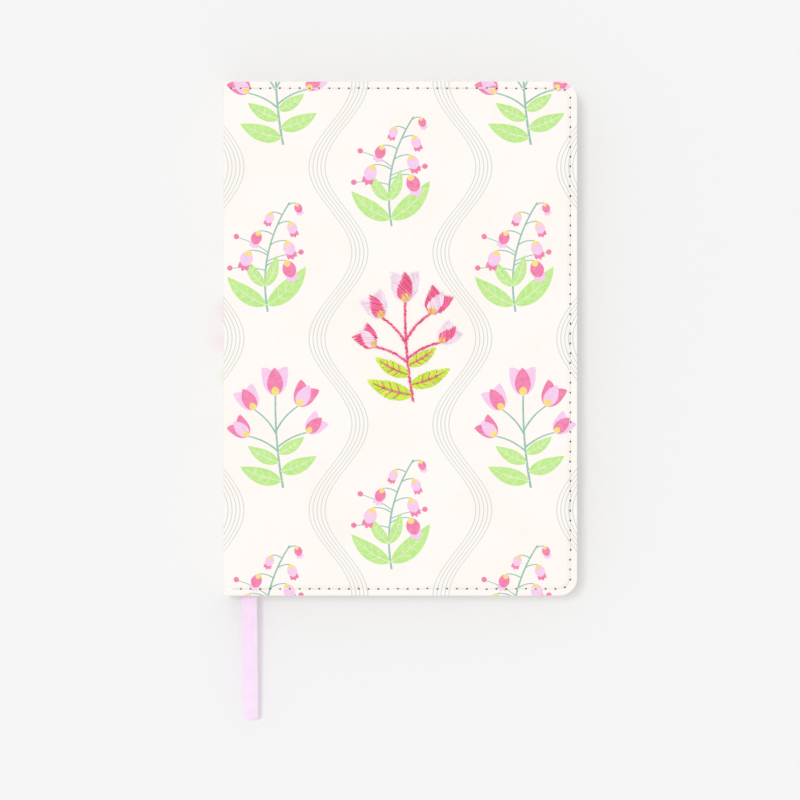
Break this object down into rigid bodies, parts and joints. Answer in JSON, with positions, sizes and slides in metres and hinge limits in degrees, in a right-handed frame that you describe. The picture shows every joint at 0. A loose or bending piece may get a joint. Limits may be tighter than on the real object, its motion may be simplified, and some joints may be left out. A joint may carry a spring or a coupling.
{
  "type": "notebook",
  "caption": "Soft notebook with stitched leatherette covers and spine strip, sewn sections of pages with rounded corners, head bands and a ribbon marker; covers and front pages turn.",
  "frame": {"origin": "middle of the back cover's outer face, on which the notebook lies", "axes": "+X from the spine to the fore edge, +Y to the head of the pages, +Z out of the front cover"},
  "size_m": [0.1484, 0.2688, 0.018],
  "materials": {
    "cover_leatherette": "matt printed leatherette with a fine linen grain",
    "cover_lining": "matt plain lining",
    "grey_board": "raw grey board",
    "endpaper": "smooth uncoated paper",
    "page_paper": "smooth uncoated paper",
    "gauze": "open cotton gauze",
    "band_cotton": "ribbed cotton",
    "ribbon_satin": "ribbed satin ribbon",
    "edge_thread": "cream thread along the edges, close to the leatherette's colour",
    "stitch_thread": "dark thread that shows in each needle hole",
    "thread_rose": "shiny rayon thread",
    "thread_blush": "shiny rayon thread",
    "thread_lime": "shiny rayon thread",
    "thread_yellow": "shiny rayon thread",
    "print_stem": "matt printed leatherette",
    "print_leaf": "matt printed leatherette",
    "print_vein": "matt printed leatherette",
    "print_blush": "matt printed leatherette",
    "print_rose": "matt printed leatherette",
    "print_yellow": "matt printed leatherette"
  },
  "bodies": {
    "back_cover": {"back_cover_skin": "cover_leatherette", "back_cover_board": "grey_board", "back_cover_lining": "cover_lining", "back_pastedown": "endpaper"},
    "page_block": {"spine_skin": "cover_leatherette", "spine_board": "grey_board", "spine_lining": "cover_lining", "spine_mull": "gauze", "head_band": "band_cotton", "tail_band": "band_cotton", "back_flyleaf": "endpaper", "ribbon_marker": "ribbon_satin", "section_07": "page_paper", "section_08": "page_paper", "section_09": "page_paper", "section_10": "page_paper", "section_11": "page_paper", "section_12": "page_paper"},
    "front_leaves": {"front_flyleaf": "endpaper", "section_01": "page_paper"},
    "front_cover": {"front_cover_skin": "cover_leatherette", "front_cover_board": "grey_board", "front_cover_lining": "cover_lining", "front_pastedown": "endpaper"},
    "leaves_02": {"section_02": "page_paper"},
    "leaves_03": {"section_03": "page_paper"},
    "leaves_04": {"section_04": "page_paper"},
    "leaves_05": {"section_05": "page_paper"},
    "leaves_06": {"section_06": "page_paper"}
  },
  "joints": [
    {"name": "back_cover_turn", "type": "hinge", "parent": "page_block", "child": "back_cover", "pos_m": [-0.07435, 0, 0.00234], "axis": [0, 1, 0], "range_deg": [0, 180]},
    {"name": "front_pages_turn", "type": "hinge", "parent": "page_block", "child": "front_leaves", "pos_m": [-0.07435, 0, 0.01566], "axis": [0, -1, 0], "range_deg": [0, 180]},
    {"name": "front_cover_turn", "type": "hinge", "parent": "front_leaves", "child": "front_cover", "pos_m": [-0.07435, 0, 0.01566], "axis": [0, -1, 0], "range_deg": [0, 183]},
    {"name": "leaves_02_turn", "type": "hinge", "parent": "page_block", "child": "leaves_02", "pos_m": [-0.07435, 0, 0.01566], "axis": [0, -1, 0], "range_deg": [0, 180]},
    {"name": "leaves_03_turn", "type": "hinge", "parent": "page_block", "child": "leaves_03", "pos_m": [-0.07435, 0, 0.01566], "axis": [0, -1, 0], "range_deg": [0, 180]},
    {"name": "leaves_04_turn", "type": "hinge", "parent": "page_block", "child": "leaves_04", "pos_m": [-0.07435, 0, 0.01566], "axis": [0, -1, 0], "range_deg": [0, 180]},
    {"name": "leaves_05_turn", "type": "hinge", "parent": "page_block", "child": "leaves_05", "pos_m": [-0.07435, 0, 0.01566], "axis": [0, -1, 0], "range_deg": [0, 180]},
    {"name": "leaves_06_turn", "type": "hinge", "parent": "page_block", "child": "leaves_06", "pos_m": [-0.07435, 0, 0.01566], "axis": [0, -1, 0], "range_deg": [0, 180]}
  ],
  "couplings": [
    {"joint": "leaves_02_turn", "follows": "front_pages_turn", "ratio": 0.985},
    {"joint": "leaves_03_turn", "follows": "front_pages_turn", "ratio": 0.97},
    {"joint": "leaves_04_turn", "follows": "front_pages_turn", "ratio": 0.955},
    {"joint": "leaves_05_turn", "follows": "front_pages_turn", "ratio": 0.94},
    {"joint": "leaves_06_turn", "follows": "front_pages_turn", "ratio": 0.925}
  ]
}
